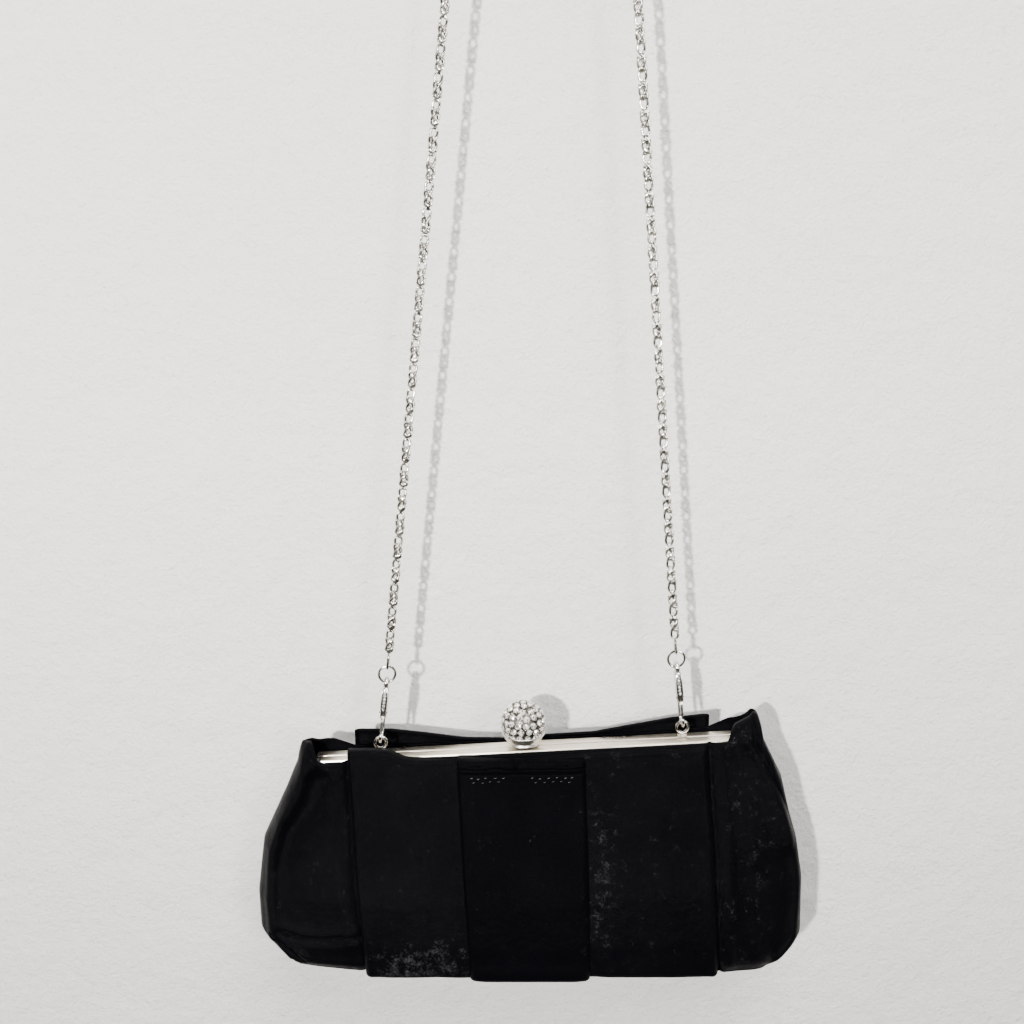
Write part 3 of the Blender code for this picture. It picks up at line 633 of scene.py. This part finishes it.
def overlay(name, left, right, top, columns, proud, roll, material, front, under, lift=0.0, lint_at=None,
            foot=BASE, fine_top=False):
    """A band of doubled satin over the body, with rolled side edges.

    left, right and top give millimetres; proud(c, h) how far it stands off.
    """
    side = -1.0 if front else 1.0
    verts = []
    lint = []
    heights = [0.0, 0.02, 0.05, 0.09] + [0.09 + 0.91 * (i + 1) / 44 for i in range(44)]
    if fine_top:
        heights = [0.13 * i / 34 for i in range(34)] + [0.13 + 0.87 * i / 30 for i in range(31)]
    cols = columns + 11
    rows = 4 + len(heights) + (10 if under else 3)
    for row in range(rows):
        for c in range(cols):
            if c < 6:
                turn = c / 6 * math.pi / 2
                across, inset = -1.0, 1.0 - math.cos(turn)
            elif c >= cols - 6:
                turn = (cols - 1 - c) / 6 * math.pi / 2
                across, inset = 1.0, 1.0 - math.cos(turn)
            else:
                turn = math.pi / 2
                across = lerp(-1.0, 1.0, (c - 6) / (columns - 2))
                inset = 1.0
            seat = math.sin(turn)
            t = heights[min(len(heights) - 1, max(0, row - 4))]

            def place(h):
                a, b = left(h / MM) * MM, right(h / MM) * MM
                inner_a, inner_b = a + roll, b - roll
                if across == -1.0 and turn < math.pi / 2:
                    return a + roll * inset
                if across == 1.0 and turn < math.pi / 2:
                    return b - roll * inset
                return lerp(inner_a, inner_b, (across + 1) / 2)

            x = place(-0.001)
            high = top(x / MM) * MM
            h = lerp(high - 0.0012, foot + 0.0017, t)
            x = place(h)
            share = (x - left(h / MM) * MM) / (right(h / MM) * MM - left(h / MM) * MM)
            stand = lift + seat * proud(share, h / MM)
            y = depth(x, min(h, 0.0)) + stand
            if row < 4:
                a = (4 - row) / 4 * math.pi / 2
                h += 0.0012 * math.sin(a)
                y -= (stand * 0.92 + 0.0012) * (1.0 - math.cos(a)) * (0.75 if row else 1.0)
            elif row >= 4 + len(heights):
                k = row - 4 - len(heights) + 1
                last = 10 if under else 3
                a = min(1.0, k / 3) * math.pi / 2
                h -= (0.0017 - 0.0002) * math.sin(a)
                y -= 0.0017 * (1.0 - math.cos(a))
                if k > 3:
                    y *= 1.0 - (k - 3) / (last - 3)
            verts.append(leaned(x, side * y, h))
            lint.append(lint_at(x / MM, h / MM) if lint_at else 0.0)
    made = new_object(name, verts, grid_faces(rows, cols), material, None, True)
    layer = made.data.attributes.new("lint", "FLOAT", "POINT")
    layer.data.foreach_set("value", lint)
    thick = made.modifiers.new("cloth", "SOLIDIFY")
    thick.thickness = 0.0006
    thick.offset = -1.0 if front else 1.0
    return made


def line_between(a, b):
    return lambda h: interp(h, (-95.0, 0.0), (b, a))


def band_proud(share, h):
    """The band swells between the knot and each rolled edge."""
    x = lerp(-76.0, 76.0, share)
    knot = math.exp(-((abs(x + 2) - 24) / 7.0) ** 2)
    roll = math.exp(-((share) / 0.022) ** 2) + math.exp(-((1 - share) / 0.018) ** 2)
    slow = noise.noise(Vector((x * 0.045, h * 0.022, 5.0))) * 0.75
    fine = noise.noise(Vector((x * 0.14, h * 0.05, 2.0))) * 0.22
    return (2.5 + 0.55 * roll - 0.75 * knot + slow + fine) * MM


def band_lint(x, h):
    corner = math.exp(-((x + 48) / 26) ** 2) * smooth((-66 - h) / 22)
    beside = math.exp(-((x - 30) / 7) ** 2) * smooth((-18 - h) / 10) * smooth((h + 88) / 15)
    right = math.exp(-((x - 40) / 22) ** 2) * 0.2
    return 0.95 * corner + 0.5 * beside + right


def band_top(x):
    return interp(x, (-79, -66, -61, -57.5, -54, -48, -30, -5, 21, 70, 78),
                  (5.4, 4.9, 4.3, 2.2, 0.5, -0.5, -1.1, -1.6, -1.2, -1.4, -1.0))


SPLIT_X = -6.3
HEM = 4.3


def knot_proud(share, h):
    """The knot: a gathered hem along its top, a crease and stitches under it, then smooth."""
    x = lerp(-31.0, 23.0, share)
    down = interp(x, (-32, 22), (-0.5, -2.8)) - h
    edge = min(share, 1 - share)
    stand = 1.9 + 0.7 * smooth(edge / 0.14)
    if down < 14:
        fade = smooth((HEM + 1.0 - down) / 1.6)
        drift = noise.noise(Vector((x * 0.10, 3.0, 1.0))) * 1.1
        stand += fade * (0.35 + 0.16 * math.sin((down + drift) * 3.4)
                         + 0.30 * noise.noise(Vector((x * 0.16, down * 1.1, 4.0))))
        stand -= 0.95 * math.exp(-((down - HEM - 1.0) / 0.55) ** 2)
        stand -= 1.1 * math.exp(-((x - SPLIT_X) / 0.85) ** 2) * fade
    else:
        stand += 0.22 * math.sin(share * 17 + 1) * smooth((h + 40) / 22)
    foot = (-89.0 - h) / 5.0
    return (stand + (0.6 * math.exp(-((foot - 0.5) / 0.45) ** 2) if foot > -1 else 0.0)) * MM


# each row's drop below the hem, its stitches' places across and its thread's radius
STITCH_ROWS = (
    (2.6, (-25.5, -22.7, -19.6, -15.4, -12.0, 0.2, 3.4, 7.1, 10.6, 14.2, 17.0), 0.00014),
    (4.1, (-24.6, -20.8, -17.6, -14.0, 1.6, 5.4, 9.0, 12.4, 15.8), 0.00008),
)
KNOT_STAND = 2.7


def make_stitches():
    """Two rows of short pale stitches under the knot's hem."""
    verts = []
    faces = []
    for drop, starts, radius in STITCH_ROWS:
        for x in starts:
            share = (x + 31.0) / 54.0
            h = interp(x, (-32, 22), (-0.5, -2.8)) - (HEM + drop) + 0.25 * math.sin(x * 3.1)
            stand = KNOT_STAND + knot_proud(share, h) / MM
            y = -(depth(x * MM, h * MM) + (stand + 0.65) * MM)
            ends = [leaned((x + k * 0.42) * MM, y - (0.22 - 0.12 * k * k) * MM, (h + 0.1 * k) * MM)
                    for k in (-1, -0.4, 0.4, 1)]
            v, f = tube(ends, radius, 6, False)
            faces += [tuple(len(verts) + i for i in face) for face in f]
            verts += v
    made = new_object("stitches", verts, faces, THREAD, "front_half")


def surface(name, place, rows, cols, material, body, thick=0.0005, offset=0.0):
    """A cloth surface from place(u, v), both 0 to 1, in metres as (x, y, height)."""
    verts = [leaned(*place(c / (cols - 1), r / (rows - 1))) for r in range(rows) for c in range(cols)]
    made = new_object(name, verts, grid_faces(rows, cols), material, body)
    change = made.modifiers.new("cloth", "SOLIDIFY")
    change.thickness = thick
    change.offset = offset
    return made


def inner(x, h):
    """Half-depth of the lined space at one place."""
    half = interp(h, OUTLINE_H, OUTLINE_W)
    share = min(1.0, max(0.0, (abs(x) - 0.060) / (half - 0.060)))
    narrowing = min(1.0, max(0.0, (-0.008 - h) / 0.022))
    return interp(h, DEPTH_H, DEPTH_D) * (1.0 - 0.38 * share * share * narrowing)


def make_inside():
    """Linings with loose folds, the slip pocket, and the pleated sides."""
    def loose(x, h, seed):
        low = smooth((-0.012 - h) / 0.02)
        return 0.0009 * low * (0.8 + noise.noise(Vector((x * 60, h * 22, seed))))

    def front(u, v):
        h = lerp(-0.0056, -0.0905, v)
        half = interp(h, OUTLINE_H, OUTLINE_W) - 0.0105
        x = lerp(-half, half, u)
        return x, -(inner(x, h) - 0.0006 - loose(x, h, 2.0)), h

    def back(u, v):
        if v < 0.72:
            h = lerp(-0.0056, -0.0895, v / 0.72)
            half = interp(h, OUTLINE_H, OUTLINE_W) - 0.0105
            x = lerp(-half, half, u)
            return x, inner(x, h) - 0.0006 - loose(x, h, 6.0), h
        t = (v - 0.72) / 0.28
        half = interp(-0.0895, OUTLINE_H, OUTLINE_W) - 0.0105
        x = lerp(-half, half, u)
        turn = math.sin(min(1.0, t * 4) * math.pi / 2)
        deep = inner(x, -0.0895) - 0.0006
        return x, deep * (1.0 - 2.0 * t * 0.94), -0.0895 - 0.0012 * turn

    lining_front = surface("lining_front", front, 46, 60, LINING, None)
    hinge_blend(lining_front)
    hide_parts("front_lining_upper", "front_lining_fold", "front_lining_lower")
    lining_back = surface("lining_back", back, 64, 60, LINING, "bag")
    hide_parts("back_lining", "base_lining")

    def pocket(u, v):
        h = lerp(-0.032, -0.075, v)
        x = lerp(-0.045, 0.045, u)
        sag = 0.0012 * math.sin(u * math.pi) * (1.0 - v)
        return x, inner(x, h) - 0.0032 - sag, h - 0.0006 * math.sin(u * math.pi) * (1.0 - v)

    slip = surface("slip_pocket", pocket, 26, 40, LINING, "bag", 0.0007)
    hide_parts("inner_pocket")
    for side, name in ((-1, "left"), (1, "right")):
        edge = EDGE_LEFT if side < 0 else EDGE_RIGHT

        def pleat(u, v, material_in):
            h = lerp(-0.0010, -0.0900, v)
            y = lerp(1.0, -1.0, u)
            deep = 0.0075 * (1.0 - abs(y)) * (1.0 + 0.15 * math.sin(v * 23)) + material_in
            x = table(edge, h) - 0.0022 - deep * smooth((h + 0.094) / 0.02)
            return side * x, y * 0.0011, h

        gusset = surface(name + "_gusset_satin", lambda u, v: pleat(u, v, 0.0), 40, 13, SATIN, None, 0.0004)
        lined = surface(name + "_gusset_lining", lambda u, v: pleat(u, v, 0.0012), 40, 13, LINING,
                        None, 0.0004)
        for piece in (gusset, lined):
            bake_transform(piece)
        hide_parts(name + "_gusset", name + "_side_fold")
        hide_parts(name + "_lining")


def make_body():
    front = body_shell("front_satin", True, None)
    hinge_blend(front)
    back = body_shell("back_satin", False, "bag")
    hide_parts("front_panel_upper", "front_panel_fold", "front_panel_lower")
    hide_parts("back_panel", "base_panel")
    band = overlay("front_band_satin", line_between(-78.2, -70.4), line_between(73.9, 79.6), band_top, 96,
                   band_proud, 0.0024, SATIN, True, True, 0.0003, band_lint)
    hinge_blend(band)
    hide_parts("front_band_upper", "front_band_fold", "front_band_lower", "base_band")
    collar = overlay("back_band_satin", line_between(-77.5, -73), line_between(78.2, 77),
                     lambda x: interp(x, (-78, -62, -31, -10, 5, 28, 63, 78),
                                      (7.8, 7.0, 1.5, -0.1, 0.6, 0.9, 5.6, 6.4)), 96,
                     lambda s, h: (2.2 + 0.5 * noise.noise(Vector((s * 7, h * 0.02, 9.0)))) * MM,
                     0.0024, SATIN, False, True, 0.0003)
    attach(collar, "bag")
    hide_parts("back_band")

    knot = overlay("knot_satin_band", line_between(-31.6, -25.6), line_between(22.2, 24.4),
                   lambda x: interp(x, (-32, -9, -6.3, -3.5, 22), (-0.4, -1.6, -2.5, -1.9, -2.9)), 90,
                   knot_proud, 0.0022, KNOT_SATIN, True, False, 0.0027, None, -0.0953, True)
    hinge_blend(knot)
    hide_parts("knot_upper", "knot_fold", "knot_lower")


make_body()
make_stitches()
make_inside()


# ---------------------------------------------------------------- clasp
CLASP_X = -0.0035
BALL_RADIUS = 0.0093
BALL_HEIGHT = 0.0105
CORE_RADIUS = 8.85
STONE_RADIUS = 0.00134
STONE_PITCH = 0.00322


def stone(centre, out, radius, turn, sides=8):
    """A round cut stone: table, two rows of facets and a girdle, with its hidden cone."""
    out = out.normalized()
    across = out.orthogonal().normalized()
    up = out.cross(across)
    verts = []
    for reach, high, shift in ((0.52, 0.52, 0.0), (0.84, 0.33, 0.5), (1.0, 0.0, 0.0)):
        for k in range(sides):
            t = turn + 2 * math.pi * (k + shift) / sides
            spoke = across * math.cos(t) + up * math.sin(t)
            verts.append(centre + spoke * (radius * reach) + out * (radius * high))
    verts.append(centre - out * radius * 0.7)
    faces = [tuple(range(sides))]
    for k in range(sides):
        m = (k + 1) % sides
        faces.append((k, sides + k, m))
        faces.append((m, sides + k, sides + m))
        faces.append((sides + k, 2 * sides + k, 2 * sides + m))
        faces.append((sides + k, 2 * sides + m, sides + m))
        faces.append((2 * sides + k, 3 * sides, 2 * sides + m))
    return verts, faces


def bead(centre, radius):
    """A small round bead of metal."""
    verts = [centre + Vector((0, 0, radius)), centre - Vector((0, 0, radius))]
    faces = []
    for ring in range(3):
        a = math.pi * (ring + 1) / 4
        for k in range(8):
            t = 2 * math.pi * k / 8
            spoke = Vector((math.sin(a) * math.cos(t), math.sin(a) * math.sin(t), math.cos(a)))
            verts.append(centre + spoke * radius)
    for k in range(8):
        m = (k + 1) % 8
        faces.append((0, 2 + k, 2 + m))
        faces.append((1, 18 + m, 18 + k))
        for ring in range(2):
            a = 2 + ring * 8
            faces.append((a + k, a + 8 + k, a + 8 + m, a + m))
    return verts, faces


class Pile:
    """Vertices and faces gathered into one piece."""

    def __init__(self):
        self.verts = []
        self.faces = []

    def add(self, shape):
        base = len(self.verts)
        self.verts += shape[0]
        self.faces += [tuple(base + i for i in face) for face in shape[1]]


def turned(profile, centre, sides=72):
    """A solid of revolution from (radius, height) in millimetres, closed at both ends."""
    verts = []
    faces = []
    for radius, high in profile:
        for k in range(sides):
            t = 2 * math.pi * k / sides
            verts.append(centre + Vector((radius * math.cos(t), radius * math.sin(t), high)) * MM)
    for r in range(len(profile) - 1):
        for k in range(sides):
            m = (k + 1) % sides
            faces.append((r * sides + k, r * sides + m, (r + 1) * sides + m, (r + 1) * sides + k))
    faces.append(tuple(reversed(range(sides))))
    faces.append(tuple((len(profile) - 1) * sides + k for k in range(sides)))
    return verts, faces


def make_clasp():
    centre = leaned(CLASP_X, 0.0, BALL_HEIGHT)
    core = Pile()
    angles = [math.radians(a) for a in range(28, 180, 4)]
    round_core = [(CORE_RADIUS * math.sin(a), -CORE_RADIUS * math.cos(a)) for a in angles]
    core.add(turned(round_core, centre, 48))
    stones = Pile()
    metal_rims = Pile()
    ball = BALL_RADIUS + 0.00005
    ring_step = STONE_PITCH / ball
    for ring in range(7):
        polar = ring * ring_step + 0.001
        count = max(1, round(2 * math.pi * math.sin(polar) / (ring_step * 1.04)))
        for k in range(count):
            t = 2 * math.pi * (k + 0.37 * ring) / count + 0.25
            out = Vector((math.sin(polar) * math.cos(t), math.sin(polar) * math.sin(t), math.cos(polar)))
            out = (out + Vector([random.uniform(-0.035, 0.035) for _ in range(3)])).normalized()
            place = centre + out * (ball - 0.00025)
            stones.add(stone(place, out, STONE_RADIUS, random.uniform(0, 0.8)))
            across = out.orthogonal().normalized()
            up = out.cross(across)
            rim = [place + (across * math.cos(a) + up * math.sin(a)) * (STONE_RADIUS * 1.07) - out * 0.00012
                   for a in [2 * math.pi * i / 14 for i in range(14)]]
            metal_rims.add(tube(rim, 0.00019, 6, True))
            for q in range(4):
                a = random.uniform(0, 0.4) + math.pi / 4 + q * math.pi / 2
                spoke = across * math.cos(a) + up * math.sin(a)
                spot = place + spoke * (STONE_RADIUS * 1.10) + out * 0.00022
                metal_rims.add(bead(spot, 0.00030))
    made = new_object("ball_stones", stones.verts, stones.faces, STONE, "clasp", False)
    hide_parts("clasp_ball")
    seat = new_object("ball_core", core.verts, core.faces, DARK, "clasp")
    rims = new_object("ball_settings", metal_rims.verts, metal_rims.faces, SETTING, "clasp")
    foot = leaned(CLASP_X, 0.0, 0.0)
    profile = ((6.0, 1.22), (6.7, 1.3), (7.0, 1.6), (7.0, 2.0), (6.6, 2.25), (6.6, 2.4),
               (7.1, 2.7), (7.7, 3.3), (8.2, 4.1), (8.6, 4.9), (8.9, 5.4), (9.25, 5.7),
               (9.3, 6.0), (9.05, 6.2), (8.6, 6.0), (7.9, 5.2), (6.6, 4.0), (4.0, 2.8))
    cup = new_object("ball_cup", *turned(profile, foot), CUP, "clasp")
    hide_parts("clasp_cup")


make_clasp()


# ---------------------------------------------------------------- clips
LUG_X = 0.0655
HOOK_H = 0.0056
CLIP_LEAN = math.radians(6.77)
BEND_RADIUS = 3.7
# place up the clip, shift, half-depth and half-width, in millimetres
CLIP_SECTIONS = ((10.9, 0.2, 2.0, 1.0), (11.2, 0.1, 2.6, 1.35), (12.2, 0.0, 2.9, 1.5),
                 (16.0, 0.0, 3.0, 1.5), (22.0, 0.0, 2.5, 1.5), (24.0, 0.0, 2.1, 1.45),
                 (24.6, 0.0, 1.7, 1.1))
RAIL_SECTIONS = ((14.9, -3.05, 0.25, 0.16), (16.0, -3.2, 0.35, 0.2), (22.6, -2.65, 0.35, 0.2),
                 (23.6, -2.3, 0.25, 0.16))
RAIL_SIDES = 10


def clip_point(side, y, v, t):
    """A place on a clip: out of the wall, up the clip and across it."""
    x = LUG_X - v * math.sin(CLIP_LEAN) + t * math.cos(CLIP_LEAN)
    return leaned(side * x, y, HOOK_H + v * math.cos(CLIP_LEAN) + t * math.sin(CLIP_LEAN))


def lofted(side, sections, power=4.0, sides=24):
    """A rounded bar up a clip from sections (v, y, half-depth, half-width), millimetres."""
    verts = []
    faces = []
    for v, y, deep, wide in sections:
        for k in range(sides):
            a = 2 * math.pi * k / sides
            c, s = math.cos(a), math.sin(a)
            reach = (abs(c) ** power + abs(s) ** power) ** (-1 / power)
            verts.append(clip_point(side, (y + deep * reach * c) * MM, v * MM, wide * reach * s * MM))
    for r in range(len(sections) - 1):
        for k in range(sides):
            m = (k + 1) % sides
            faces.append((r * sides + k, r * sides + m, (r + 1) * sides + m, (r + 1) * sides + k))
    faces.append(tuple(reversed(range(sides))))
    faces.append(tuple((len(sections) - 1) * sides + k for k in range(sides)))
    return verts, faces


def make_clips():
    for name, side in (("left", -1), ("right", 1)):
        clip = Pile()
        clip.add(lofted(side, CLIP_SECTIONS))
        eye = [clip_point(side, 2.1 * MM * math.cos(a), (26.5 + 2.1 * math.sin(a)) * MM, 0.0)
               for a in [2 * math.pi * i / 28 for i in range(28)]]
        clip.add(tube(eye, 0.00060, 10, True, 1.7, Vector((1, 0, 0))))
        bend = [(3.0, 12.6), (3.4, 10.4), (3.7, 7.6)]
        turns = [math.radians(a) for a in range(20, -196, -9)]
        bend += [(BEND_RADIUS * math.cos(a), BEND_RADIUS + BEND_RADIUS * math.sin(a)) for a in turns]
        bend = [clip_point(side, y * MM, v * MM, 0.0) for y, v in bend]
        clip.add(tube(bend, [0.00074] * (len(bend) - 3) + [0.0007, 0.00062, 0.0004], 12, False, 1.0))
        for edge in (-1.18, 1.18):
            clip.add(lofted(side, RAIL_SECTIONS, 3.0, RAIL_SIDES))
            across = clip_point(side, 0, 0, edge * MM) - clip_point(side, 0, 0, 0)
            for i in range(len(clip.verts) - RAIL_SIDES * len(RAIL_SECTIONS), len(clip.verts)):
                clip.verts[i] = clip.verts[i] + across
        made = new_object(name + "_clip_body", clip.verts, clip.faces, SILVER, name + "_clip")
        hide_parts(name + "_clip")
        gems = Pile()
        cups = Pile()
        for k in range(6):
            v = 15.6 + 1.42 * k
            y = -3.12 + 0.075 * max(0.0, v - 16.0)
            spot = clip_point(side, (y - 0.28) * MM, v * MM, 0.0)
            gems.add(stone(spot, Vector((0, -1, 0)), 0.00062, 0.4 * k))
            rim = [spot + Vector((math.cos(a) * 0.00068, 0.00012, math.sin(a) * 0.00068))
                   for a in [2 * math.pi * i / 12 for i in range(12)]]
            cups.add(tube(rim, 0.00016, 6, True))
            cups.add(bead(clip_point(side, (y - 0.30) * MM, (v + 0.71) * MM, 0.00045), 0.00022))
            cups.add(bead(clip_point(side, (y - 0.30) * MM, (v + 0.71) * MM, -0.00045), 0.00022))
        jewels = new_object(name + "_clip_gems", gems.verts, gems.faces, STONE, name + "_clip", False)
        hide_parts(name + "_clip_stones")
        held = new_object(name + "_clip_settings", cups.verts, cups.faces, DARK, name + "_clip")


make_clips()
for name, thing in nodes.items():
    if name == "base_board":
        paint = BOARD
    elif name in ("back_frame", "front_frame", "clasp_bracket", "clasp_pin") or "hinge_pin" in name:
        paint = GOLD
    elif "lug" in name or "ring" in name:
        paint = CHAIN
    elif "gate" in name or name == "clasp_lever":
        paint = SILVER
    else:
        continue
    thing.data.materials.clear()
    thing.data.materials.append(paint)


# ---------------------------------------------------------------- stage
def make_stage():
    for name, verts in (
        ("floor", [(-3, -3, -1.1), (3, -3, -1.1), (3, 3, -1.1), (-3, 3, -1.1)]),
        ("wall", [(-2.5, 0.0285, -1.1), (2.5, 0.0285, -1.1), (2.5, 0.0285, 2.0), (-2.5, 0.0285, 2.0)]),
    ):
        n = Nodes(name + "_paint", (0.80, 0.79, 0.77), 0.85, Specular_IOR_Level=0.2)
        split = n.add("SeparateXYZ")
        n.link(n.place, split.inputs[0])
        # random mottling, and painted shade: the wall's colour grows darker towards the bottom, where less
        # light falls
        mottle_and_painted_falloff = n.math("ADD", n.remap(n.noise(5.0, 4.0), 0.3, 0.7, -0.06, 0.06),
                         n.remap(split.outputs[2], -0.50, -0.24, 0.0, 1.0))
        n.use("Base Color", n.ramp(mottle_and_painted_falloff, ((0.0, (0.660, 0.646, 0.624)), (1.0, (0.880, 0.864, 0.826)))))
        grain = n.bump(n.noise(430.0, 7.0, 0.8), 0.0016, 0.9)
        n.use("Normal", n.bump(n.noise(42.0, 7.0, 0.72), 0.0045, 0.75, grain))
        if name == "floor":
            n.use("Base Color", n.ramp(mottle_and_painted_falloff, ((0.3, (0.030, 0.026, 0.022)), (0.7, (0.045, 0.038, 0.030)))))
        else:
            # plain from the front, and left out when it is looked at from behind
            clear = n.add("BsdfTransparent")
            choose = n.add("MixShader")
            n.link(n.add("NewGeometry").outputs["Backfacing"], choose.inputs[0])
            n.link(n.shader.outputs[0], choose.inputs[1])
            n.link(clear.outputs[0], choose.inputs[2])
            n.link(choose.outputs[0], n.tree.nodes["Material Output"].inputs["Surface"])
        made = new_object(name, verts, [(0, 1, 2, 3)], n.material, None)
        # neither shades the object, so the lamp behind reaches its back
        made.visible_shadow = False


def area(name, place, target, size, power, colour=(1.0, 1.0, 1.0)):
    data = bpy.data.lights.new(name, "AREA")
    data.shape = "DISK"
    data.size = size
    data.energy = power
    data.color = colour
    lamp = bpy.data.objects.new(name, data)
    lamp.location = place
    lamp.rotation_euler = (Vector(target) - Vector(place)).to_track_quat("-Z", "Y").to_euler()
    bpy.context.scene.collection.objects.link(lamp)


def make_lights():
    middle = (0.0, 0.0, -0.30)
    area("key", (-0.45, -1.14, -0.06), middle, 0.055, 43.0, (1.0, 0.985, 0.95))
    area("second", (0.62, -1.30, -0.05), middle, 0.30, 13.0)
    area("fill", (0.35, -1.2, 1.35), middle, 1.3, 82.0)
    area("back", (0.3, 1.6, 0.5), middle, 1.4, 12.0)
    world = bpy.data.worlds.new("world")
    world.use_nodes = True
    world.node_tree.nodes["Background"].inputs["Color"].default_value = (0.93, 0.95, 1.0, 1.0)
    world.node_tree.nodes["Background"].inputs["Strength"].default_value = 0.13
    bpy.context.scene.world = world


make_stage()
make_lights()
